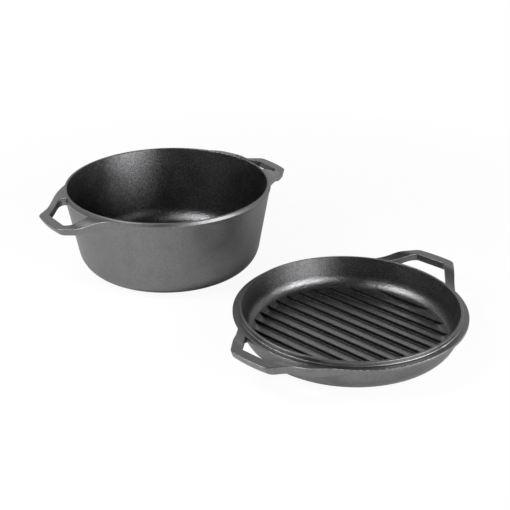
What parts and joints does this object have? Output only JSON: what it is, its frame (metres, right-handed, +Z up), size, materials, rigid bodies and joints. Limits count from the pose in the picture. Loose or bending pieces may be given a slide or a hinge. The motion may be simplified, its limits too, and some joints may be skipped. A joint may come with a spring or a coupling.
{
  "type": "dutch oven",
  "caption": "Round cast iron dutch oven: deep pot with loop handles, its lid off beside it, a shallow pan with grill ribs and matching handles.",
  "frame": {"origin": "middle of the pot's base, on the surface that pot and lid stand on", "axes": "+Z up, X along the pot's two handles; the lid lies on the -Y side"},
  "size_m": [0.4139, 0.5809, 0.1133],
  "materials": {
    "pot_iron": "seasoned, fine sand-cast texture, satin",
    "lid_iron": "seasoned, fine sand-cast texture, satin"
  },
  "bodies": {
    "pot": {"oven_pot": "pot_iron"},
    "lid": {"grill_lid": "lid_iron"}
  },
  "joints": [
    {"name": "lid_lift", "type": "slide", "parent": "pot", "child": "lid", "axis": [0, 0, 1], "range_m": [0, 0.16]}
  ]
}
